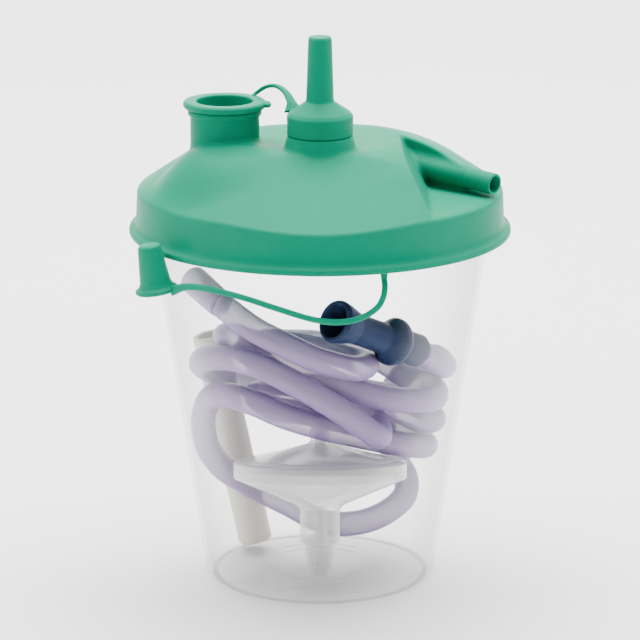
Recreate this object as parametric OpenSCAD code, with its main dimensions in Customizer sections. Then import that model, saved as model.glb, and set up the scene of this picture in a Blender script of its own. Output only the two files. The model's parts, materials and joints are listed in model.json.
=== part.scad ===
// Disposable suction canister with a press-on lid, packed with its tubing kit.
// Millimetres, +Z up, origin at the centre of the cup's base on the floor.
// The patient nozzle is on the right (+X) and the pour port on the left.

/* [Canister] */
// Outer radius of the cup at its base
cup_base_r = 43; // [42.5:0.1:43.5]
// Outer radius of the cup under its brim
cup_top_r = 64.6; // [64.4:0.1:64.8]
// Height of the cup's brim above the floor
cup_h = 147.6; // [147.2:0.1:147.8]
// Thickness of the cup's wall
cup_wall = 1.6; // [1.2:0.1:1.8]
// Outer radius of the brim that the lid grips
brim_r = 66; // [65.6:0.1:66.2]

/* [Lid] */
// Outer radius of the flared rim
rim_r = 71; // [70:0.5:73]
// Height of the rim's lower edge above the floor
rim_z = 132.5; // [132:0.1:133]
// Height of the shoulder on top of the skirt
shoulder_z = 149.5; // [149.5:0.1:150]
// Height of the flat top of the dome
top_z = 167.5; // [167:0.1:168]
// Radius of the flat top
top_r = 40; // [38:0.5:42]
// Distance from the axis to the front and back edges of the flat top
top_half_depth = 28; // [26:0.5:30]
// Thickness of the lid's wall
lid_wall = 1.6; // [1.4:0.1:1.8]

/* [Ports] */
// Outer radius of the pour port's neck
pour_neck_r = 12.75; // [12.7:0.05:13]
// Height of the pour port's mouth
pour_neck_z = 180.6; // [178:0.1:180.6]
// Radius of the boss under the vacuum cap
boss_r = 12; // [11.8:0.1:12.2]
// Height of the top of the boss
boss_z = 172.7; // [172:0.1:172.7]
// Outer radius of the patient nozzle
nozzle_r = 4.15; // [4:0.05:4.4]
// Radius of the patient nozzle's bore
nozzle_bore_r = 3; // [2.5:0.1:3]

/* [Caps] */
// Height of the tip of the vacuum cap
vac_cap_tip_z = 209; // [208.5:0.1:212]
// Outer radius of the pour plug's flange
plug_flange_r = 15.3; // [15:0.1:16]
// Outer radius of the hanging plug's flange
hang_flange_r = 7.8; // [7:0.1:8]

/* [Filter] */
// Outer radius of the filter disc
filter_r = 32.5; // [31:0.5:32.5]
// Lean of the filter away from the front
filter_tilt = 12; // [11:0.5:13]

/* [Tubing] */
// Outer diameter of the patient tubing
tube_d = 9.5; // [8:0.1:9.5]
// Sides of the swept tube
tube_sides = 10; // [8:1:12]
// Outer diameter of the pump hose
hose_d = 13; // [12:0.1:13]
// Inner diameter of the pump hose
hose_bore_d = 8.5; // [8:0.1:9]

/* [Hidden] */
$fn = 96;

draft = (cup_top_r - cup_base_r) / 146;
rim_lip_z = rim_z + 2.1;
inner_top_z = top_z - lid_wall;
under_shoulder_z = shoulder_z - lid_wall;
dome_foot_r = 64.5;
dome_inner_foot_r = dome_foot_r - 1.5;
// Run of the dome's front and back facets, out from the flat top's edge
facet_run = 36;
facet_angle = atan2(facet_run, top_z - shoulder_z);
pocket_z = 150;
// How far in front of the nozzle's axis the pocket's back wall stands
pocket_wall = 0.6;
pour_at = [-35, -8];
vac_at = [0, -17];
// Two points on the patient nozzle's axis: inside the lid, and at its mouth
nozzle_from = [25.4, 12.3, 157.8];
nozzle_to = [64, -20, 154.7];
// Length of the nozzle's slimmer end, which a hose goes over
nozzle_end_len = 12;
nozzle_end_r = nozzle_r - 0.2;
// Chamfer on the nozzle's mouth and on the inner end of the connector's socket
chamfer = 0.3;
// Room round the nozzle's end for the hose
hose_room = 1.6;
collar_r = 9.6;
filter_at = [0, -14.5, 44];
connector_mouth = [5, -46, 110];
hose_from = [-25, 22.2, 4.5];
hose_to = [-42, 19, 86.5];
end_cuff_tip = [-47, -20, 119];

// Centre line of the patient tubing, from the connector's cuff, round the cup
// in loose turns, to the open end under the lid
ROUTE = [
    [37, -19, 91], [43, -9, 84], [47, 4, 79], [44, 17, 79], [39, 27, 75], [31, 33, 66], [26, 36, 56],
    [25, 34, 45], [29, 27, 36], [33, 17, 31], [32, 8, 26], [24, 2, 21], [13, 0, 18], [1, 2, 18],
    [-12, 8, 23], [-26, 9, 30], [-36, 4, 38], [-42, -2, 48], [-44, -5, 58], [-43, -9, 66],
    [-40, -17, 73], [-33, -26, 76], [-24, -33, 75], [-13, -33, 70], [-1, -29, 65], [11, -22, 60],
    [23, -14, 55], [34, -7, 51], [40, 3, 48], [38, 14, 47], [29, 22, 48], [12, 26, 50], [-5, 22, 55],
    [-17, 11, 60], [-24, 0, 68], [-20, -12, 73], [-10, -18, 72], [2, -17, 71], [14, -10, 70],
    [27, -5, 65], [37, -3, 60], [43, 4, 58], [40, 14, 59], [30, 23, 61], [12, 28, 63], [-8, 27, 65],
    [-21, 20, 68], [-31, 9, 71], [-38, 1, 76], [-44, -9, 83], [-43, -19, 88], [-39, -28, 91],
    [-32, -36, 93], [-23, -42, 92], [-12, -43, 87], [0, -43, 80], [10, -42, 73], [18, -38, 66],
    [22, -31, 62], [20, -22, 66], [11, -23, 73], [0, -26, 76], [-10, -24, 80], [-21, -16, 85],
    [-30, -8, 90], [-35, -13, 95], [-33, -22, 98], [-27, -29, 98], [-18, -31, 95], [-6, -32, 89],
    [9, -32, 81], [24, -29, 76], [36, -19, 72], [43, -5, 69], [43, 9, 69], [34, 19, 70], [18, 26, 78],
    [0, 26, 82], [-13, 17, 85], [-21, 6, 88], [-15, -6, 91], [-3, -13, 91], [10, -20, 89],
    [17, -30, 89], [12, -39, 90], [-1, -45, 95], [-13, -46, 101], [-24, -43, 106], [-36, -35, 113]
];
// Centre line of the strap from the pour plug to the vacuum cap
CAP_STRAP = [[-24.8, 2.2, 182.2], [-21.8, 5, 184.8], [-17.7, 5.2, 187], [-13.5, 2.6, 187.4],
    [-10.8, -1.4, 185.2], [-9.4, -4.6, 181.4], [-9, -7.4, 177.8]];
// Centre line of the long strap from the rim to the hanging plug
TETHER = [[22.85, -64.1, 134], [22.85, -64.1, 130.4], [23.1, -65.6, 127.6], [22.4, -68, 124.2],
    [19.9, -69.6, 120.6],
    [13.8, -70.8, 117.3], [6, -71.6, 116.2], [-3, -71.8, 117.4], [-15, -71.2, 121],
    [-28, -68.4, 124.6], [-40.7, -62.5, 126.2], [-48, -56.8, 125.4], [-52.4, -52.8, 122.8]];
hang_at = [-58.8, -48, 121.3];
hang_tilt = 9;

function unit(v) = v / norm(v);
function tangent(p, i) = unit(p[min(i + 1, len(p) - 1)] - p[max(i - 1, 0)]);
// Side direction of each ring, carried along the route so that the tube doesn't twist
function across(v, t) = unit(v - (v * t) * t);
function side(p, i) = i == 0 ? across([0.3, 0.2, 1], tangent(p, 0)) : across(side(p, i - 1), tangent(p, i));
function ring(c, t, s, r, n) = [for (k = [0:n - 1])
    c + r * (cos(360 * k / n) * s + sin(360 * k / n) * cross(t, s))];

// Round bar of radius r along the points p, with n sides
module swept(p, r, n) {
    points = [for (i = [0:len(p) - 1]) each ring(p[i], tangent(p, i), side(p, i), r, n)];
    walls = [for (i = [0:len(p) - 2]) for (k = [0:n - 1])
        each [[i * n + k, i * n + (k + 1) % n, (i + 1) * n + k],
            [i * n + (k + 1) % n, (i + 1) * n + (k + 1) % n, (i + 1) * n + k]]];
    last = (len(p) - 1) * n;
    ends = [[for (k = [n - 1:-1:0]) k], [for (k = [0:n - 1]) last + k]];
    polyhedron(points, concat([for (f = walls) [f[2], f[1], f[0]]],
        [for (f = ends) [for (j = [len(f) - 1:-1:0]) f[j]]]));
}

// Places a shape made along +Z so that it runs from a towards b
module along(a, b) {
    d = b - a;
    translate(a) rotate([0, acos(d[2] / norm(d)), atan2(d[1], d[0])]) children();
}

module canister_cup() {
    function wall_r(z) = cup_base_r + draft * z;
    lip_z = cup_h - 1.6;
    color("WhiteSmoke", 0.35) rotate_extrude() polygon([
        [0, 1.8], [19.4, 1.8], [20.8, 0.8], [37.5, 0.8], [38.5, 0], [cup_base_r - 1.8, 0],
        [wall_r(1.8), 1.8], [wall_r(lip_z), lip_z], [brim_r, lip_z], [brim_r, cup_h],
        [wall_r(cup_h) - cup_wall, cup_h], [wall_r(4) - cup_wall, 4], [wall_r(0) - cup_wall - 1.6, 2.6],
        [21.4, 2.6], [20, 3.6], [0, 3.6]]);
}

// Solid filling the dome, with its foot at radius foot_r, shrunk all round by gap
module dome(foot_r, gap) {
    z0 = under_shoulder_z - (gap > 0 ? 1 : 0);
    z1 = shoulder_z - gap;
    z2 = top_z - gap;
    difference() {
        rotate_extrude() polygon([[0, z0], [foot_r, z0], [foot_r, z1], [top_r - gap, z2], [0, z2]]);
        for (s = [-1, 1]) translate([0, s * (top_half_depth - gap * 0.6), z2])
            rotate([s * (facet_angle - 90), 0, 0]) translate([-100, s > 0 ? 0 : -100, 0])
                cube([200, 100, 60]);
        pocket(gap);
    }
}

// Space that the dome leaves open in front of and under the patient nozzle, and all round its end
module pocket(gap) {
    mid = (nozzle_from + nozzle_to) / 2;
    angle = atan2(nozzle_to[1] - nozzle_from[1], nozzle_to[0] - nozzle_from[0]);
    floor_z = pocket_z - gap;
    room_from = norm(nozzle_to - nozzle_from) - nozzle_end_len - 1 - gap;
    intersection() {
        translate([0, 30, 0]) rotate([90, 0, 0]) linear_extrude(110) polygon([
            [40 - gap, floor_z], [29.5 - gap, 168], [28 - gap, 190], [90, 190], [90, floor_z]]);
        translate(mid) rotate([0, 0, angle]) translate([-100, -100, -60])
            cube([200, 100 - pocket_wall + gap, 120]);
    }
    intersection() {
        along(nozzle_from, nozzle_to) translate([0, 0, room_from])
            cylinder(h = 40, r = nozzle_r + hose_room + gap);
        translate([0, -100, floor_z]) cube([200, 200, 100]);
    }
}

module skirt() {
    rotate_extrude() polygon([
        [rim_r - 1.7, rim_z], [rim_r - 0.3, rim_z], [rim_r, rim_z + 0.4], [rim_r, rim_lip_z],
        [rim_r - 1.6, rim_lip_z + 1.9], [68.5, rim_z + 5.2],
        [68, shoulder_z - 1.9], [67.3, shoulder_z - 0.6], [65.8, shoulder_z], [60, shoulder_z],
        [60, under_shoulder_z], [66.3, under_shoulder_z], [66.7, under_shoulder_z - 0.7],
        [66.9, rim_z + 5], [67.6, rim_z + 3.2], [rim_r - 1.7, rim_z + 1.6]]);
}

// Outside of the patient nozzle: a sloped shoulder, the slimmer end and its chamfered mouth
module nozzle_outside() {
    length = norm(nozzle_to - nozzle_from);
    step_at = length - nozzle_end_len;
    along(nozzle_from, nozzle_to) rotate_extrude() polygon([
        [0, 0], [nozzle_r, 0], [nozzle_r, step_at - 0.4], [nozzle_end_r, step_at],
        [nozzle_end_r, length - chamfer], [nozzle_end_r - chamfer, length], [0, length]]);
}

module lid_shell() {
    color("MediumSeaGreen") difference() {
        union() {
            difference() {
                union() {
                    skirt();
                    dome(dome_foot_r, 0);
                }
                dome(dome_inner_foot_r, lid_wall);
            }
            translate([pour_at[0], pour_at[1], 157]) cylinder(h = pour_neck_z - 157, r = pour_neck_r);
            translate([pour_at[0], pour_at[1], pour_neck_z - 2.6]) cylinder(h = 2.6, r = pour_neck_r + 0.9);
            translate([vac_at[0], vac_at[1], 158]) cylinder(h = boss_z - 158, r = collar_r + 1.4);
            translate([vac_at[0], vac_at[1], inner_top_z - 1])
                cylinder(h = boss_z - inner_top_z + 1, r = boss_r);
            translate([vac_at[0], vac_at[1], boss_z]) cylinder(h = 5.3, r = boss_r - 1.6);
            translate([vac_at[0], vac_at[1], boss_z]) cylinder(h = 32.3, r1 = 3.6, r2 = 2.6);
            nozzle_outside();
        }
        translate([pour_at[0], pour_at[1], 140]) cylinder(h = 50, r = pour_neck_r - 1.1);
        translate([vac_at[0], vac_at[1], 140]) cylinder(h = 70, r = 1.8);
        translate([vac_at[0], vac_at[1], 140]) cylinder(h = inner_top_z - 140, r = collar_r);
        along(nozzle_from, nozzle_to) translate([0, 0, -1])
            cylinder(h = norm(nozzle_to - nozzle_from) + 2, r = nozzle_bore_r);
    }
}

cage_z = 123;
seat_z = 158;
module float_cage() {
    wall = 1.5;
    color("White") translate([vac_at[0], vac_at[1], 0]) difference() {
        translate([0, 0, cage_z]) cylinder(h = inner_top_z - cage_z, r = collar_r - 0.05);
        translate([0, 0, cage_z + 1.6]) cylinder(h = seat_z - cage_z - 1.6, r = collar_r - wall);
        translate([0, 0, seat_z + 1.6]) cylinder(h = 20, r = collar_r - wall);
        translate([0, 0, cage_z - 1]) cylinder(h = 50, r = 2.6);
        for (a = [0, 90]) rotate([0, 0, a]) translate([-20, -3.5, cage_z + 6]) cube([40, 7, 24]);
    }
}

module float_body() {
    color("White") translate([vac_at[0], vac_at[1], 0]) {
        translate([0, 0, cage_z + 1.8]) cylinder(h = 19.2, r = 7.4);
        translate([0, 0, cage_z + 21]) cylinder(h = 3.2, r = 2);
    }
}

module float_seal() {
    color("DimGray") translate([vac_at[0], vac_at[1], cage_z + 21]) difference() {
        cylinder(h = 3, r = 6);
        translate([0, 0, -1]) cylinder(h = 5, r = 2.1);
    }
}

module vacuum_cap() {
    foot = boss_z + 0.2;
    band = 180.8;
    neck = 185.2;
    color("MediumSeaGreen") translate([vac_at[0], vac_at[1], 0]) rotate_extrude() polygon([
        [10.7, foot], [12, foot], [12, band - 0.6], [11.4, band], [5.3, neck - 0.3], [5.1, neck],
        [4.25, vac_cap_tip_z - 1.6], [3.6, vac_cap_tip_z - 0.4], [2.6, vac_cap_tip_z], [0, vac_cap_tip_z],
        [0, vac_cap_tip_z - 2], [3.1, vac_cap_tip_z - 2.5], [4.1, neck - 1.6], [10.7, band - 2.1]]);
}

module pour_plug() {
    top = pour_neck_z + 3;
    color("MediumSeaGreen") translate([pour_at[0], pour_at[1], 0]) difference() {
        union() {
            translate([0, 0, pour_neck_z - 14.4]) cylinder(h = 16, r = pour_neck_r - 1.35);
            translate([0, 0, pour_neck_z + 0.2]) cylinder(h = 2.8, r = plug_flange_r);
            translate([12, -4, pour_neck_z + 0.8]) cube([5, 8, 1.8]);
        }
        translate([0, 0, pour_neck_z - 13]) cylinder(h = 30, r = pour_neck_r - 2.55);
    }
}

module cap_strap() {
    color("MediumSeaGreen") swept(CAP_STRAP, 0.85, 8);
}

// Hollow plug that closes the patient nozzle, hanging upside down on its strap
module nozzle_plug() {
    color("MediumSeaGreen") translate(hang_at) rotate([0, -hang_tilt, 0]) rotate_extrude() polygon([
        [4.6, 0], [hang_flange_r, 0], [hang_flange_r, 1.8], [6.2, 2.2], [5.6, 3.4], [4.3, 16.4], [3.4, 17.6],
        [0, 17.8], [0, 16], [3.2, 16]]);
}

module plug_tether() {
    color("MediumSeaGreen") swept(TETHER, 1.1, 8);
}

module in_filter() {
    translate(filter_at) rotate([-filter_tilt, 0, 0]) children();
}

// Upper half of the filter housing, with the nipple that points up
module filter_top_shell() {
    color("WhiteSmoke", 0.5) in_filter() rotate_extrude() polygon([
        [29.6, 0], [filter_r, 0], [filter_r, 2.6], [filter_r - 0.6, 3.1], [filter_r - 2.4, 3.3], [4.6, 9.6],
        [3.6, 10.6], [3.4, 20.4], [2.9, 21], [2, 21], [2, 8.6], [27.4, 2.2], [27.4, 0.4], [29.6, 0.4]]);
}

// Lower half of the filter housing, with the barrel and the stepped barb
module filter_bottom_shell() {
    color("WhiteSmoke", 0.5) in_filter() rotate_extrude() polygon([
        [29.6, 0], [29.6, -0.4], [27.4, -0.4], [27.4, -3.4], [2.4, -11.6], [2.4, -40], [4, -40],
        [4.7, -36.4], [5.3, -36.2], [4.8, -32.6], [5.6, -32.4], [5.4, -28.2], [7.5, -27], [7.5, -15],
        [9.2, -13.2], [29, -4.8], [filter_r, -3.2], [filter_r, 0]]);
}

module filter_membrane() {
    color("White") in_filter() translate([0, 0, -0.4]) cylinder(h = 0.8, r = 29.6);
}

module patient_tubing() {
    color("Thistle") swept(ROUTE, tube_d / 2, tube_sides);
}

cuff_len = 9.5;
connector_len = norm(ROUTE[0] - connector_mouth) - cuff_len;
// Soft funnel-shaped connector with a gripping bulge near its tail
module funnel_connector() {
    tail = connector_len;
    color("MidnightBlue") along(connector_mouth, ROUTE[0]) rotate_extrude() polygon([
        [5.8, 0], [7.2, 0], [8, 0.8], [7.6, 4], [6.2, 9], [5.8, 12], [5.8, tail - 9.5], [8.4, tail - 7],
        [9, tail - 5], [8.6, tail - 3], [6.9, tail - 1], [6.6, tail],
        [3.2 + chamfer, tail], [3.2, tail - chamfer], [3.2, 14], [5, 10]]);
}

module tubing_cuff() {
    color("SlateGray") along(connector_mouth, ROUTE[0]) translate([0, 0, connector_len]) difference() {
        cylinder(h = cuff_len, r = 6.1);
        translate([0, 0, -1]) cylinder(h = cuff_len + 2, r = 3.5);
    }
}

// Slightly belled cuff on the open end of the tubing
module tubing_end_cuff() {
    from = ROUTE[len(ROUTE) - 1];
    length = norm(end_cuff_tip - from);
    color("Thistle") along(from, end_cuff_tip) rotate_extrude() polygon([
        [3.2, 0.1], [tube_d / 2 + 0.2, 0.1], [5.2, 2], [5.4, length - 1], [5.1, length], [4, length],
        [3.8, length - 8], [3.2, length - 10]]);
}

module pump_hose() {
    length = norm(hose_to - hose_from);
    color("Cornsilk") along(hose_from, hose_to) difference() {
        cylinder(h = length, d = hose_d);
        translate([0, 0, -1]) cylinder(h = length + 2, d = hose_bore_d);
    }
}

canister_cup();
lid_shell();
float_cage();
float_body();
float_seal();
vacuum_cap();
cap_strap();
pour_plug();
nozzle_plug();
plug_tether();
filter_top_shell();
filter_bottom_shell();
filter_membrane();
patient_tubing();
tubing_cuff();
tubing_end_cuff();
funnel_connector();
pump_hose();
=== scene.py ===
"""Looks for the suction canister with its tubing kit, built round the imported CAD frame."""
import json
import math

import bpy
import numpy as np
from mathutils import Matrix, Vector


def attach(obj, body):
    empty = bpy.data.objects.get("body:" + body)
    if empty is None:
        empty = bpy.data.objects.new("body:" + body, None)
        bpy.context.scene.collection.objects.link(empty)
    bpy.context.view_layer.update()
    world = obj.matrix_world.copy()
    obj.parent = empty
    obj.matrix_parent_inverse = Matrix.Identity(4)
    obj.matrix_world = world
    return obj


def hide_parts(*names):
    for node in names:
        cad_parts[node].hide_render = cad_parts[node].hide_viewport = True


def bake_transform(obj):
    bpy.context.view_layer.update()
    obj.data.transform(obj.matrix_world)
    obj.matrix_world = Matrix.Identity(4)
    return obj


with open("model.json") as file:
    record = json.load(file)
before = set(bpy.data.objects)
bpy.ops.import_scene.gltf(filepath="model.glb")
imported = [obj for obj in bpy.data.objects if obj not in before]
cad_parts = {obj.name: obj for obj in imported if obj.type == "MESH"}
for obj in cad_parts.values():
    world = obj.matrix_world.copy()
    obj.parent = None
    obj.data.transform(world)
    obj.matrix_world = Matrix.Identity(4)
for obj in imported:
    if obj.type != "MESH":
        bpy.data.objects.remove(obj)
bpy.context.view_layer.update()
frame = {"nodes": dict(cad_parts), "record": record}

MM = 0.001

# ---------------------------------------------------------------- camera
AIM = Vector((0, 0, 0.098))
CAMERA_DISTANCE = 1.3875
CAMERA_ELEVATION = math.radians(14.9)
LENS_MM = 208.1


def make_camera():
    data = bpy.data.cameras.new("camera")
    data.lens = LENS_MM
    data.sensor_width = 36
    data.clip_end = 20
    camera = bpy.data.objects.new("camera", data)
    bpy.context.scene.collection.objects.link(camera)
    back = Vector((0, -math.cos(CAMERA_ELEVATION), math.sin(CAMERA_ELEVATION)))
    camera.location = AIM + back * CAMERA_DISTANCE
    camera.rotation_euler = back.to_track_quat("Z", "Y").to_euler()
    bpy.context.scene.camera = camera


make_camera()


# ---------------------------------------------------------------- shapes
def spline(points, steps):
    """Points along a smooth curve through the given ones, steps to each stretch between two."""
    p = [Vector(q) for q in points]
    p = [p[0] * 2 - p[1]] + p + [p[-1] * 2 - p[-2]]
    out = []
    for i in range(1, len(p) - 2):
        a, b, c, d = p[i - 1:i + 3]
        for k in range(steps):
            t = k / steps
            out.append((2 * b + (c - a) * t + (2 * a - 5 * b + 4 * c - d) * t * t
                        + (3 * b - a - 3 * c + d) * t ** 3) / 2)
    return out + [p[-2]]


def new_object(name, vertices, faces, smooth_angle=35):
    mesh = bpy.data.meshes.new(name)
    mesh.from_pydata([tuple(v) for v in vertices], [], faces)
    mesh.validate()
    mesh.shade_smooth()
    if smooth_angle:
        mesh.set_sharp_from_angle(angle=math.radians(smooth_angle))
    obj = bpy.data.objects.new(name, mesh)
    bpy.context.scene.collection.objects.link(obj)
    return obj


def rounded(outline, radius, steps=4):
    """Closed outline of (r, h) or (r, h, radius) in mm with every corner off the axis rounded."""
    out = []
    n = len(outline)
    for i, point in enumerate(outline):
        here = Vector(point[:2])
        before = Vector(outline[i - 1][:2])
        after = Vector(outline[(i + 1) % n][:2])
        size = point[2] if len(point) > 2 else radius
        to_before, to_after = before - here, after - here
        half = to_before.angle(to_after, math.pi) / 2
        if here.x < 1e-6 or size == 0 or half > math.radians(88):
            out.append(here)
            continue
        cut = min(size / math.tan(half), 0.45 * to_before.length, 0.45 * to_after.length)
        start = here + to_before.normalized() * cut
        end = here + to_after.normalized() * cut
        for k in range(steps + 1):
            t = k / steps
            out.append(start * (1 - t) ** 2 + here * 2 * t * (1 - t) + end * t * t)
    return out


def lathe(name, outline, radius=0.3, sides=128, steps=4, smooth_angle=35):
    """Solid turned round Z from a closed outline of (r, h) in mm, drawn anticlockwise."""
    vertices, rings = [], []
    for r, h in rounded(outline, radius, steps):
        if r < 1e-6:
            rings.append([len(vertices)] * sides)
            vertices.append((0, 0, h * MM))
        else:
            rings.append(list(range(len(vertices), len(vertices) + sides)))
            turns = [2 * math.pi * k / sides for k in range(sides)]
            vertices += [(r * MM * math.cos(a), r * MM * math.sin(a), h * MM) for a in turns]
    faces = []
    for low, high in zip(rings, rings[1:] + rings[:1]):
        for k in range(sides):
            face = [low[k], low[(k + 1) % sides], high[(k + 1) % sides], high[k]]
            face = [v for i, v in enumerate(face) if v not in face[:i]]
            if len(face) > 2:
                faces.append(face)
    return new_object(name, vertices, faces, smooth_angle)


def place(obj, at, towards=None):
    """Moves a shape made round Z to a point in mm, with its Z towards another point."""
    matrix = Matrix.Translation(Vector(at) * MM)
    if towards is not None:
        turn = Vector((0, 0, 1)).rotation_difference(Vector(towards) - Vector(at))
        matrix = matrix @ turn.to_matrix().to_4x4()
    obj.data.transform(matrix)
    return obj


def band(name, points, widths, thicknesses, up, steps=8, sides=16):
    """Strap along points in mm, with an oval section. widths and thicknesses run along its length."""
    path = spline(points, steps)
    vertices, faces = [], []
    for i, here in enumerate(path):
        t = (path[min(i + 1, len(path) - 1)] - path[max(i - 1, 0)]).normalized()
        across = t.cross(Vector(up)).normalized()
        out = across.cross(t)
        share = i / (len(path) - 1)
        w = np.interp(share, np.linspace(0, 1, len(widths)), widths) / 2
        d = np.interp(share, np.linspace(0, 1, len(thicknesses)), thicknesses) / 2
        for k in range(sides):
            a = 2 * math.pi * k / sides
            # a squarish oval, as moulded straps have
            ca, sa = math.cos(a), math.sin(a)
            ca = math.copysign(abs(ca) ** 0.7, ca)
            sa = math.copysign(abs(sa) ** 0.7, sa)
            vertices.append((here + across * (w * ca) + out * (d * sa)) * MM)
    last = (len(path) - 1) * sides
    for i in range(len(path) - 1):
        for k in range(sides):
            a, b = i * sides + k, i * sides + (k + 1) % sides
            faces.append([a, b, b + sides, a + sides])
    faces.append(list(range(sides))[::-1])
    faces.append([last + k for k in range(sides)])
    return new_object(name, vertices, faces, 60)


# ---------------------------------------------------------------- materials
class Nodes:
    """Short hand for building one material's node tree."""

    def __init__(self, name):
        self.material = bpy.data.materials.new(name)
        self.material.use_nodes = True
        self.tree = self.material.node_tree
        self.shader = self.tree.nodes["Principled BSDF"]

    def add(self, kind, **values):
        node = self.tree.nodes.new(kind)
        for key, value in values.items():
            if key in node.inputs:
                node.inputs[key].default_value = value
            else:
                setattr(node, key, value)
        return node

    def link(self, a, b):
        self.tree.links.new(a, b)

    def set(self, **values):
        for key, value in values.items():
            self.shader.inputs[key.replace("_", " ")].default_value = value

    def noise(self, scale, detail=3.0):
        place_at = self.add("ShaderNodeTexCoord")
        noise = self.add("ShaderNodeTexNoise", Scale=scale, Detail=detail)
        self.link(place_at.outputs["Object"], noise.inputs["Vector"])
        return noise.outputs["Fac"]

    def ramp(self, source, low, high, ends=(0.3, 0.7)):
        """Maps source to a colour or a grey between low and high."""
        ramp = self.add("ShaderNodeValToRGB")
        for k, value in enumerate((low, high)):
            ramp.color_ramp.elements[k].position = ends[k]
            if isinstance(value, (int, float)):
                value = (value, value, value)
            ramp.color_ramp.elements[k].color = (*value, 1)
        self.link(source, ramp.inputs["Fac"])
        return ramp.outputs["Color"]

    def bump(self, scale, strength, distance, detail=4.0):
        bump = self.add("ShaderNodeBump", Strength=strength, Distance=distance)
        self.link(self.noise(scale, detail), bump.inputs["Height"])
        self.link(bump.outputs["Normal"], self.shader.inputs["Normal"])


def moulded_plastic(name, low, high, roughness=(0.32, 0.42), specular=0.3, subsurface=0.0):
    """Injection-moulded plastic: slight flow marks in its colour and a fine pebbled skin."""
    m = Nodes(name)
    m.link(m.ramp(m.noise(28), low, high), m.shader.inputs["Base Color"])
    m.link(m.ramp(m.noise(90, 5), *roughness), m.shader.inputs["Roughness"])
    m.set(Specular_IOR_Level=specular, IOR=1.49)
    if subsurface:
        m.set(Subsurface_Weight=subsurface, Subsurface_Scale=0.002)
        m.set(Subsurface_Radius=(0.4, 1.0, 0.7))
    m.bump(420, 0.04, 0.0001)
    return m.material


def clear_plastic(name, tint, face_alpha, edge_alpha, roughness, blend=0.35, specular=0.3):
    """Thin milky clear plastic: denser where the eye looks along the wall."""
    m = Nodes(name)
    m.link(m.ramp(m.noise(16), tuple(c * 0.97 for c in tint), tint), m.shader.inputs["Base Color"])
    m.link(m.ramp(m.noise(60), roughness * 0.8, roughness * 1.2), m.shader.inputs["Roughness"])
    facing = m.add("ShaderNodeLayerWeight", Blend=blend)
    m.link(m.ramp(facing.outputs["Facing"], face_alpha, edge_alpha, (0.15, 0.95)),
           m.shader.inputs["Alpha"])
    m.set(IOR=1.49, Specular_IOR_Level=specular)
    m.bump(35, 0.06, 0.0006, 2)
    return m.material


def soft_tubing(name, low, high):
    """Soft translucent PVC, bluer and darker at its edges."""
    m = Nodes(name)
    facing = m.add("ShaderNodeLayerWeight", Blend=0.4)
    body = m.ramp(facing.outputs["Facing"], high, low, (0.05, 0.85))
    tinted = m.add("ShaderNodeMix", data_type="RGBA", blend_type="MULTIPLY")
    tinted.inputs[0].default_value = 1
    m.link(body, tinted.inputs[6])
    m.link(m.ramp(m.noise(22), (0.93, 0.93, 0.96), (1, 0.98, 1)), tinted.inputs[7])
    m.link(tinted.outputs[2], m.shader.inputs["Base Color"])
    m.link(m.ramp(facing.outputs["Facing"], 0.66, 0.95, (0.1, 0.75)), m.shader.inputs["Alpha"])
    m.link(m.ramp(m.noise(70), 0.3, 0.42), m.shader.inputs["Roughness"])
    m.set(Subsurface_Weight=0.35, Subsurface_Scale=0.004, Subsurface_Radius=(1.0, 0.95, 1.0))
    m.set(IOR=1.52)
    m.bump(60, 0.05, 0.0004, 2)
    return m.material


GREEN = moulded_plastic("green_plastic", (0.0, 0.212, 0.118), (0.0, 0.230, 0.128),
                        specular=0.03, subsurface=0.05)
CLEAR = clear_plastic("clear_cup_plastic", (0.94, 0.94, 0.95), 0.0, 0.38, 0.16, specular=0.1)
FILTER_CLEAR = clear_plastic("clear_filter_plastic", (0.93, 0.93, 0.935), 0.34, 0.9, 0.12, 0.45, 0.5)
TUBING = soft_tubing("soft_tubing", (0.225, 0.135, 0.37), (0.385, 0.305, 0.50))
NAVY = moulded_plastic("navy_soft_plastic", (0.010, 0.022, 0.060), (0.016, 0.031, 0.078), (0.38, 0.5), 0.12)
CUFF = moulded_plastic("blue_cuff_plastic", (0.040, 0.050, 0.098), (0.054, 0.066, 0.12), (0.38, 0.5), 0.10)
CREAM = moulded_plastic("cream_hose_plastic", (0.70, 0.66, 0.55), (0.80, 0.76, 0.65), (0.45, 0.6), 0.3, 0.2)
PAPER = moulded_plastic("filter_paper", (0.84, 0.84, 0.83), (0.92, 0.92, 0.91), (0.8, 0.95))
WHITE = moulded_plastic("white_float_plastic", (0.80, 0.80, 0.78), (0.88, 0.88, 0.86))
GREY = moulded_plastic("grey_rubber", (0.10, 0.10, 0.105), (0.14, 0.14, 0.145), (0.6, 0.75))

SLOTS = {
    "lid_green": GREEN, "clear_cup": CLEAR, "clear_filter": FILTER_CLEAR, "clear_tubing": TUBING,
    "navy_soft": NAVY, "blue_cuff": CUFF, "cream_hose": CREAM, "filter_paper": PAPER,
    "float_white": WHITE, "seal_grey": GREY,
}


def piece(obj, slot, body=None, replaces=()):
    """Gives a new piece its material, its body and the CAD nodes that it stands for."""
    obj.data.materials.clear()
    obj.data.materials.append(SLOTS[slot])
    if body:
        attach(obj, body)
    if replaces:
        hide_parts(*replaces)
    return obj


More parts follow.
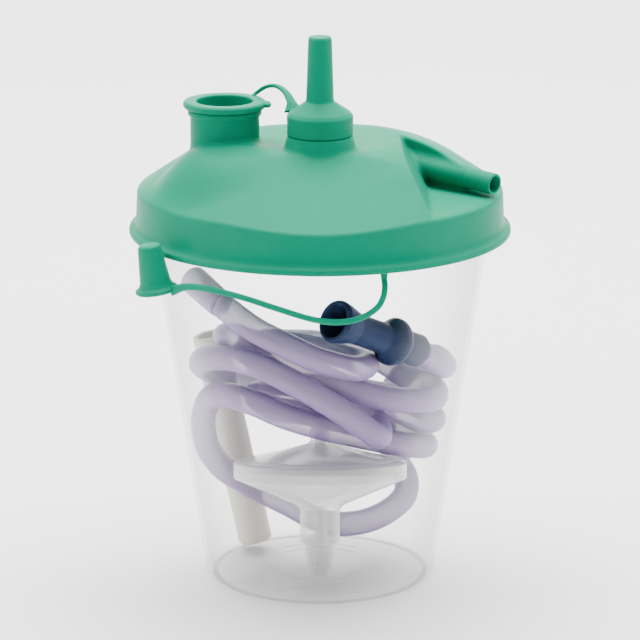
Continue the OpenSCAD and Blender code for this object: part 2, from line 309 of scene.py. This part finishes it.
# ---------------------------------------------------------------- patient tubing and its ends
# The route's points are those of the CAD part, here in millimetres too
ROUTE = [
    [37, -19, 91], [43, -9, 84], [47, 4, 79], [44, 17, 79], [39, 27, 75], [31, 33, 66], [26, 36, 56],
    [25, 34, 45], [29, 27, 36], [33, 17, 31], [32, 8, 26], [24, 2, 21], [13, 0, 18], [1, 2, 18],
    [-12, 8, 23], [-26, 9, 30], [-36, 4, 38], [-42, -2, 48], [-44, -5, 58], [-43, -9, 66],
    [-40, -17, 73], [-33, -26, 76], [-24, -33, 75], [-13, -33, 70], [-1, -29, 65], [11, -22, 60],
    [23, -14, 55], [34, -7, 51], [40, 3, 48], [38, 14, 47], [29, 22, 48], [12, 26, 50], [-5, 22, 55],
    [-17, 11, 60], [-24, 0, 68], [-20, -12, 73], [-10, -18, 72], [2, -17, 71], [14, -10, 70],
    [27, -5, 65], [37, -3, 60], [43, 4, 58], [40, 14, 59], [30, 23, 61], [12, 28, 63], [-8, 27, 65],
    [-21, 20, 68], [-31, 9, 71], [-38, 1, 76], [-44, -9, 83], [-43, -19, 88], [-39, -28, 91],
    [-32, -36, 93], [-23, -42, 92], [-12, -43, 87], [0, -43, 80], [10, -42, 73], [18, -38, 66],
    [22, -31, 62], [20, -22, 66], [11, -23, 73], [0, -26, 76], [-10, -24, 80], [-21, -16, 85],
    [-30, -8, 90], [-35, -13, 95], [-33, -22, 98], [-27, -29, 98], [-18, -31, 95], [-6, -32, 89],
    [9, -32, 81], [24, -29, 76], [36, -19, 72], [43, -5, 69], [43, 9, 69], [34, 19, 70], [18, 26, 78],
    [0, 26, 82], [-13, 17, 85], [-21, 6, 88], [-15, -6, 91], [-3, -13, 91], [10, -20, 89],
    [17, -30, 89], [12, -39, 90], [-1, -45, 95], [-13, -46, 101], [-24, -43, 106], [-36, -35, 113],
]
TUBE_D = 9.5
CONNECTOR_MOUTH = (5, -46, 110)
END_CUFF_TIP = (-47, -20, 119)
CUFF_LENGTH = 9.5
SOCKET_R = 3.2
SOCKET_CHAMFER = 0.3


def make_tubing():
    path = spline(ROUTE, 6)
    data = bpy.data.curves.new("patient_tubing_curve", "CURVE")
    data.dimensions = "3D"
    data.bevel_depth = TUBE_D / 2 * MM
    data.bevel_resolution = 6
    data.use_fill_caps = True
    line = data.splines.new("POLY")
    line.points.add(len(path) - 1)
    for point, here in zip(line.points, path):
        point.co = (*(here * MM), 1)
    line.use_smooth = True
    obj = bpy.data.objects.new("tubing", data)
    bpy.context.scene.collection.objects.link(obj)
    piece(obj, "clear_tubing", "canister", ["patient_tubing"])
    return obj, sum((b - a).length for a, b in zip(path, path[1:])) * MM


def make_connector():
    """Soft funnel with a gripping ring, from its mouth to the sleeve on the tubing."""
    tail = (Vector(ROUTE[0]) - Vector(CONNECTOR_MOUTH)).length - CUFF_LENGTH
    obj = lathe("connector", [
        (SOCKET_R + SOCKET_CHAMFER, tail, 0), (SOCKET_R, tail - SOCKET_CHAMFER, 0), (SOCKET_R, 14, 2),
        (5.2, 9, 4), (6.1, 1.2, 0.4), (6.4, 0, 0.4), (7.5, 0, 0.5), (8.0, 1.6, 0.8),
        (7.4, 5, 4), (6.0, 10, 4), (5.7, 16, 5), (5.75, tail - 11, 3),
        (7.2, tail - 8.6, 2), (9.0, tail - 6.2, 1.6), (9.0, tail - 4.4, 1.6), (7.8, tail - 2.2, 1.5),
        (6.5, tail - 0.6, 0.6), (6.4, tail, 0.2)], steps=6)
    return place(obj, CONNECTOR_MOUTH, ROUTE[0]), tail


def make_cuff(tail):
    obj = lathe("connector_cuff", [
        (3.2, tail), (6.1, tail, 0.2), (6.15, tail + 8.2, 1), (5.2, tail + CUFF_LENGTH, 0.6),
        (3.2, tail + CUFF_LENGTH)], steps=6)
    return place(obj, CONNECTOR_MOUTH, ROUTE[0])


def make_end_cuff():
    length = (Vector(END_CUFF_TIP) - Vector(ROUTE[-1])).length
    obj = lathe("tubing_end", [
        (3.2, 0.1), (4.9, 0.1, 0.2), (5.15, 3, 2), (5.4, length - 2, 1), (5.2, length, 0.5),
        (4.1, length, 0.3), (3.8, length - 8, 2), (3.2, length - 10, 1)], steps=5)
    return place(obj, ROUTE[-1], END_CUFF_TIP)


tubing, tubing_length = make_tubing()
connector, connector_tail = make_connector()
piece(connector, "navy_soft", "canister", ["funnel_connector"])
cuff = piece(make_cuff(connector_tail), "blue_cuff", "canister", ["tubing_cuff"])
end_cuff = piece(make_end_cuff(), "clear_tubing", "canister", ["tubing_end_cuff"])


# ---------------------------------------------------------------- lid, as a blended solid
POUR_AT = (-35, -8)
VACUUM_AT = (0, -17)
NOZZLE_FROM = np.array([25.4, 12.3, 157.8])
NOZZLE_TO = np.array([64, -20, 154.7])
NOZZLE_R = 4.15
NOZZLE_BORE_R = 3.0
NOZZLE_END_R = NOZZLE_R - 0.2
NOZZLE_END_LENGTH = 12
HOSE_ROOM = 1.6
TOP_Z = 167.5
RIM_Z = 132.5
POCKET_Z = 150.0
LID_WALL = 1.6


def smax(a, b, k):
    """Larger of two fields, with the edge between them rounded over a width of k."""
    return np.maximum(a, b) + np.maximum(k - np.abs(a - b), 0) ** 2 / (4 * k)


def smin(a, b, k):
    return -smax(-a, -b, k)


def nozzle_frame(x, y, z):
    """Distance from the nozzle's axis, distance along it, and distance in front of it."""
    axis = (NOZZLE_TO - NOZZLE_FROM) / np.linalg.norm(NOZZLE_TO - NOZZLE_FROM)
    dx, dy, dz = x - NOZZLE_FROM[0], y - NOZZLE_FROM[1], z - NOZZLE_FROM[2]
    along = dx * axis[0] + dy * axis[1] + dz * axis[2]
    away = np.sqrt(np.maximum(dx * dx + dy * dy + dz * dz - along * along, 0))
    flat = np.hypot(axis[0], axis[1])
    in_front = (dx * axis[1] - dy * axis[0]) / flat
    return away, along, in_front


def dome(x, y, z, r):
    """Domed top: a flat plateau, a cone, flat facets front and back, a swelling and the pocket."""
    cone = ((r - 66.5) * 17.7 + (z - 149.8) * 26.5) / 31.87
    solid = smax(cone, z - TOP_Z, 8.0)
    facet = ((np.abs(y) - 28) * 18 + (z - TOP_Z) * 36) / 40.25
    soft = 0.9 + 3.2 * np.clip((166 - z) / 9, 0, 1)
    solid = smax(solid, facet, soft)
    swelling = np.sqrt((x - POUR_AT[0]) ** 2 + (y + 19) ** 2 + (z - 146.5) ** 2) - 23.5
    solid = smin(solid, swelling, 7.0)
    away, along, in_front = nozzle_frame(x, y, z)
    left_wall = ((x - 40) * 17.5 + (z - POCKET_Z) * 10.5) / 20.41
    pocket = smax(smax(-left_wall, POCKET_Z - z, 1.5), 0.6 - in_front, 1.5)
    # room for a hose all round the nozzle's slimmer end
    room = smax(smax(away - NOZZLE_R - HOSE_ROOM, 37.4 - along, 0.8), POCKET_Z - z, 0.8)
    pocket = smin(pocket, room, 0.8)
    return smax(solid, -pocket, 1.4)


def lid_field(x, y, z):
    """Below zero inside the lid's plastic."""
    r = np.hypot(x, y)
    top = dome(x, y, z, r)
    side = r - (68 + 0.045 * (148 - z))
    body = smax(top, side, 1.0)
    lip = smax(r - 71, np.abs(z - RIM_Z - 1.2) - 1.2, 0.9)
    body = smin(body, lip, 3.0)
    body = smax(body, RIM_Z - z, 0.7)
    flare = np.maximum(135.5 - z, 0) * 0.93
    hollow = smax(top + LID_WALL, r - 66.6 - flare, 0.6)
    solid = smax(body, -hollow, 0.5)
    from_vacuum = np.hypot(x - VACUUM_AT[0], y - VACUUM_AT[1])
    boss = smax(smax(from_vacuum - 12 - 0.25 * (172.7 - z), z - 172.7, 0.5), 166 - z, 0.3)
    solid = smin(solid, boss, 1.6)
    from_pour = np.hypot(x - POUR_AT[0], y - POUR_AT[1])
    neck = np.maximum(np.maximum(from_pour - 12.71, z - 175), 157 - z)
    solid = smin(solid, neck, 2.2)
    away, along, in_front = nozzle_frame(x, y, z)
    stub = np.maximum(np.maximum(away - NOZZLE_R + 0.04, along - 36), -along)
    solid = smin(solid, stub, 2.6)
    solid = np.maximum(solid, 11.69 - from_pour)
    solid = np.maximum(solid, 1.8 - from_vacuum)
    return np.maximum(solid, np.minimum(NOZZLE_BORE_R + 0.04 - away, along + 1))


def net(field, low, high, step):
    """Closed surface where field is zero: one vertex in each grid cell that it passes through."""
    axes = [np.arange(a, b + step, step, dtype=np.float32) for a, b in zip(low, high)]
    value = field(*np.meshgrid(*axes, indexing="ij", sparse=True)).astype(np.float32)
    inside = value < 0
    count = np.zeros([n - 1 for n in inside.shape], np.int8)
    for corner in np.ndindex(2, 2, 2):
        count += inside[tuple(slice(c, n - 1 + c) for c, n in zip(corner, inside.shape))]
    cells = np.argwhere((count > 0) & (count < 8))
    index = np.full(count.shape, -1, np.int64)
    index[tuple(cells.T)] = np.arange(len(cells))
    middle = np.array(low) + (cells + 0.5) * step
    points = middle.copy()
    for _ in range(6):
        d, g = slope(field, points)
        points -= (d / np.maximum((g * g).sum(1), 1e-3))[:, None] * g
        points = np.clip(points, middle - 0.7 * step, middle + 0.7 * step)
    quads = []
    for axis in range(3):
        u, v = (axis + 1) % 3, (axis + 2) % 3
        near = [slice(None)] * 3
        far = [slice(None)] * 3
        near[axis], far[axis] = slice(0, -1), slice(1, None)
        change = inside[tuple(near)].astype(np.int8) - inside[tuple(far)]
        for sign in (1, -1):
            at = np.argwhere(change == sign)
            at = at[(at[:, u] > 0) & (at[:, v] > 0)]
            at = at[(at[:, u] < count.shape[u]) & (at[:, v] < count.shape[v])]
            corners = []
            for du, dv in ((1, 1), (0, 1), (0, 0), (1, 0)):
                cell = at.copy()
                cell[:, u] -= du
                cell[:, v] -= dv
                corners.append(index[tuple(cell.T)])
            quads.append(np.stack(corners[::sign], 1))
    return points, np.concatenate(quads)


def slope(field, points, h=0.02):
    """Value of the field at points, and its gradient."""
    x, y, z = points.T
    gradient = [(field(x + a, y + b, z + c) - field(x - a, y - b, z - c)) / (2 * h)
                for a, b, c in np.eye(3) * h]
    return field(x, y, z), np.stack(gradient, 1)


LID_STEP = 0.7


def make_lid():
    points, quads = net(lid_field, (-72.1, -72.1, 131.6), (72.1, 72.1, 176.4), LID_STEP)
    mesh = bpy.data.meshes.new("lid")
    mesh.from_pydata((points * MM).tolist(), [], quads.tolist())
    mesh.validate()
    mesh.shade_smooth()
    normal = slope(lid_field, points)[1]
    normal /= np.linalg.norm(normal, axis=1)[:, None]
    mesh.normals_split_custom_set_from_vertices(normal.tolist())
    obj = bpy.data.objects.new("lid", mesh)
    bpy.context.scene.collection.objects.link(obj)
    return obj


NECK_TOP = 180.6
piece(make_lid(), "lid_green", "lid", ["lid_shell"])
pour_neck = lathe("pour_port_neck", [
    (11.65, 158), (12.75, 158), (12.75, 178, 0.5), (13.6, 178.6, 0.4), (13.65, NECK_TOP, 0.6),
    (11.65, NECK_TOP, 0.4)])
piece(place(pour_neck, (*POUR_AT, 0)), "lid_green", "lid")
vacuum_port = lathe("vacuum_port", [
    (9.6, 158), (11, 158, 0.2), (11, 168), (10.4, 168), (10.4, 178, 0.4), (3.7, 178, 0.8),
    (3.2, 190), (2.6, 205, 0.4), (1.8, 205, 0.2), (1.8, 166.2), (9.6, 166.2)])
piece(place(vacuum_port, (*VACUUM_AT, 0)), "lid_green", "lid")
nozzle_length = float(np.linalg.norm(NOZZLE_TO - NOZZLE_FROM))
nozzle_step = nozzle_length - NOZZLE_END_LENGTH
nozzle = lathe("patient_nozzle", [
    (NOZZLE_BORE_R, 14), (NOZZLE_R, 14), (NOZZLE_R, nozzle_step - 0.4, 0.2),
    (NOZZLE_END_R, nozzle_step, 0.2), (NOZZLE_END_R, nozzle_length, 0.6),
    (NOZZLE_BORE_R, nozzle_length, 0.35)], steps=5)
piece(place(nozzle, NOZZLE_FROM, NOZZLE_TO), "lid_green", "lid")


# ---------------------------------------------------------------- caps, plugs and straps
def make_vacuum_cap():
    foot, band_top, neck, tip = 172.9, 180.8, 185.2, 209.0
    return lathe("vacuum_cap_shell", [
        (10.7, foot), (12.1, foot, 0.3), (12.2, band_top - 1, 1.2), (11.2, band_top + 0.3, 0.9),
        (5.35, neck - 0.2, 0.8), (5.1, neck + 0.6, 0.5), (4.35, tip - 1, 1.7), (3.9, tip, 1.6), (0, tip),
        (0, tip - 2), (3.0, tip - 2.5, 0.5), (4.0, neck - 1.6, 0.8), (10.7, band_top - 2.1, 0.8)], steps=6)


piece(place(make_vacuum_cap(), (*VACUUM_AT, 0)), "lid_green", "vacuum_cap", ["vacuum_cap"])

plug = lathe("pour_port_plug", [
    (0, 166.2), (11.3, 166.2, 0.6), (11.4, 181, 0.3), (14.6, 180.9, 0.6), (15.3, 181.6, 0.8),
    (15.3, 182.9, 0.8), (14.6, 183.6, 0.7), (10.4, 183.6, 0.9), (10.1, 167.7, 0.8), (0, 167.7)], steps=5)
piece(place(plug, (*POUR_AT, 0)), "lid_green", "pour_plug", ["pour_plug"])
TAB = [(-22, -8.6, 182.3), (-20.6, -8.5, 182.3), (-19, -8.4, 182.2), (-18.1, -8.3, 182.1)]
tab = band("pour_plug_tab", TAB, (7.6, 7.6, 7.0, 4.2), (2.2, 2.2, 2.0, 1.4), (0, 0, 1), 4)
piece(tab, "lid_green", "pour_plug")

CAP_STRAP = [(-25.6, 1.0, 182.6), (-23.4, 2.0, 184.4), (-20, 1.4, 186.7), (-16.2, -1.2, 187.6),
             (-12.8, -5.2, 186.2), (-10.6, -9.4, 183.2), (-10.0, -12.2, 180.6)]
strap = band("vacuum_cap_strap", CAP_STRAP, (3.6, 2.4, 2.2, 2.2, 2.4, 3.4, 6.5),
             (1.3, 1.5, 1.5, 1.5, 1.5, 1.6, 1.6), (-0.2, 0.2, 1))
piece(strap, "lid_green", None, ["cap_strap"])
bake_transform(strap)

HANG_AT = Vector((-58.8, -48, 121.3))
HANG_TILT = math.radians(9)
hang_top = HANG_AT + 10 * Vector((-math.sin(HANG_TILT), 0, math.cos(HANG_TILT)))
hanging = lathe("hanging_nozzle_plug", [
    (4.7, 0, 0.5), (7.2, 0, 0.5), (7.8, 0.6, 0.6), (7.7, 1.5, 0.6), (6.4, 2.3, 0.8), (5.6, 4, 2.0),
    (4.4, 15.6, 1.5), (4.1, 17.2, 0.9), (3.2, 17.8, 0.7), (0, 17.8), (0, 16.2), (3.2, 16.2, 0.4)], steps=6)
piece(place(hanging, HANG_AT, hang_top), "lid_green", "tether", ["nozzle_plug"])

TETHER = [(22.85, -64.1, 135), (22.85, -64.1, 130.4), (23.1, -65.6, 127.6), (22.4, -68, 124.2),
          (19.9, -69.6, 120.6), (13.8, -70.8, 117.3), (6, -71.6, 116.2), (-3, -71.8, 117.4),
          (-15, -71.2, 121), (-28, -68.4, 124.6), (-40.7, -62.5, 126.2),
          (-48, -56.8, 125.4), (-53.4, -52.0, 122.6)]
tether = band("long_plug_strap", TETHER, (3.2, 2.2, 2.2, 2.2, 2.2, 2.2, 2.2, 2.2, 2.2, 2.3, 2.6, 3.6),
              (2.4, 2.0, 2.0, 2.0, 2.0, 2.0, 2.0, 2.0, 2.0, 2.0, 2.0, 1.6), (0, -1, 0.3))
piece(tether, "lid_green", "tether", ["plug_tether"])


# ---------------------------------------------------------------- cup
DRAFT = 21.6 / 146


def cup_r(z):
    return 43 + DRAFT * z


cup = lathe("cup", [
    (0, 1.8), (19.4, 1.8, 0.8), (20.8, 0.8, 0.8), (37.5, 0.8, 0.4), (38.5, 0, 0.4), (42.4, 0, 2.2),
    (cup_r(3), 3, 2), (cup_r(144), 144, 1), (64.9, 146, 0.4), (66, 146.2, 0.5), (66, 147.6, 0.6),
    (cup_r(147.6) - 1.6, 147.6, 0.6), (cup_r(5) - 1.6, 5, 2), (40, 2.6, 2), (21.4, 2.6, 0.8),
    (20, 3.6, 0.8), (0, 3.6)], sides=192, steps=6)
piece(cup, "clear_cup", "canister", ["canister_cup"])


# ---------------------------------------------------------------- filter, hose and float
FILTER_AT = Vector((0, -14.5, 44))
FILTER_TILT = math.radians(12)
filter_top = FILTER_AT + 10 * Vector((0, math.sin(FILTER_TILT), math.cos(FILTER_TILT)))
top_shell = lathe("filter_cover", [
    (29.6, 0.4), (29.6, 0), (32.5, 0), (32.5, 2.6, 0.5), (30.4, 3.3, 0.4), (28.6, 3.4, 0.4),
    (27.8, 4.0, 0.4), (5.0, 9.6, 1), (3.6, 10.6, 0.8), (3.5, 17.4, 0.3),
    (3.9, 17.8, 0.2), (3.3, 21, 0.4), (2, 21, 0.3),
    (2, 8.6, 0.4), (27.2, 2.3, 0.4), (27.4, 0.4, 0.2)])
piece(place(top_shell, FILTER_AT, filter_top), "clear_filter", "canister", ["filter_top_shell"])
bottom_shell = lathe("filter_base", [
    (29.6, 0), (29.6, -0.4), (27.4, -0.4), (27.4, -3.4, 0.4), (2.4, -11.6, 0.5), (2.4, -40, 0.3),
    (4, -40, 0.4), (4.7, -36.4, 0.2), (5.3, -36.2, 0.2), (4.8, -32.6, 0.2), (5.6, -32.4, 0.2),
    (5.4, -28.2, 0.4), (7.4, -27, 0.5), (7.5, -15, 0.6), (9.2, -13.2, 0.8),
    (29, -4.8, 0.8), (32.5, -3.2, 0.6), (32.5, 0)])
piece(place(bottom_shell, FILTER_AT, filter_top), "clear_filter", "canister", ["filter_bottom_shell"])

hose = lathe("cream_hose", [(4.25, 0), (6.5, 0, 0.5), (6.5, 84.5, 0.5), (4.25, 84.5, 0.5)], sides=64)
piece(place(hose, (-25, 22.2, 4.5), (-42, 19, 86.5)), "cream_hose", "canister", ["pump_hose"])

for node in ("filter_membrane", "float_cage", "float_body", "float_seal"):
    obj = frame["nodes"][node]
    slot = next(s["material_slot"] for s in frame["record"]["subparts"] if s["node"] == node)
    obj.data.materials.clear()
    obj.data.materials.append(SLOTS[slot])


# ---------------------------------------------------------------- studio
def make_stage():
    """Pale floor that curves up into a pale backdrop."""
    depth, lift, bend = 1.6, 2.2, 0.5
    profile = [(-2.0, 0.0), (depth - bend, 0.0)]
    profile += [(depth - bend + bend * math.sin(a), bend - bend * math.cos(a))
                for a in np.linspace(0.05, math.pi / 2, 16)]
    profile.append((depth, lift))
    vertices = [(side * 3, y, z) for y, z in profile for side in (-1, 1)]
    faces = [[2 * i, 2 * i + 1, 2 * i + 3, 2 * i + 2] for i in range(len(profile) - 1)]
    floor = new_object("studio_floor", vertices, faces, 0)
    m = Nodes("pale_paper")
    m.link(m.ramp(m.noise(3), (0.92, 0.92, 0.92), (0.94, 0.94, 0.94)), m.shader.inputs["Base Color"])
    m.set(Roughness=0.8)
    floor.data.materials.append(m.material)


def add_light(name, at, size, power, glossy=True, target=(0, 0, 0.11)):
    data = bpy.data.lights.new(name, "AREA")
    data.shape = "RECTANGLE"
    data.size, data.size_y = size
    data.energy = power
    light = bpy.data.objects.new(name, data)
    light.location = at
    light.rotation_euler = (Vector(at) - Vector(target)).to_track_quat("Z", "Y").to_euler()
    light.visible_glossy = glossy
    bpy.context.scene.collection.objects.link(light)


def make_world():
    world = bpy.data.worlds.new("studio_world")
    world.use_nodes = True
    world.node_tree.nodes["Background"].inputs["Color"].default_value = (1, 1, 1, 1)
    world.node_tree.nodes["Background"].inputs["Strength"].default_value = 0.5
    bpy.context.scene.world = world


make_stage()
make_world()
add_light("top_softbox", (0, 0.2, 1.25), (1.3, 1.1), 48)
add_light("left_softbox", (-1.1, -0.1, 0.5), (0.7, 1.1), 6)
add_light("right_softbox", (1.1, 0.0, 0.5), (0.7, 1.1), 6)
add_light("front_fill", (-0.3, -1.6, 0.7), (1.2, 0.8), 1.5, glossy=False)
add_light("backdrop_light", (0, 0.8, 1.7), (2.4, 0.5), 60, glossy=False, target=(0, 1.6, 0.4))

print("tubing length", round(tubing_length, 4))
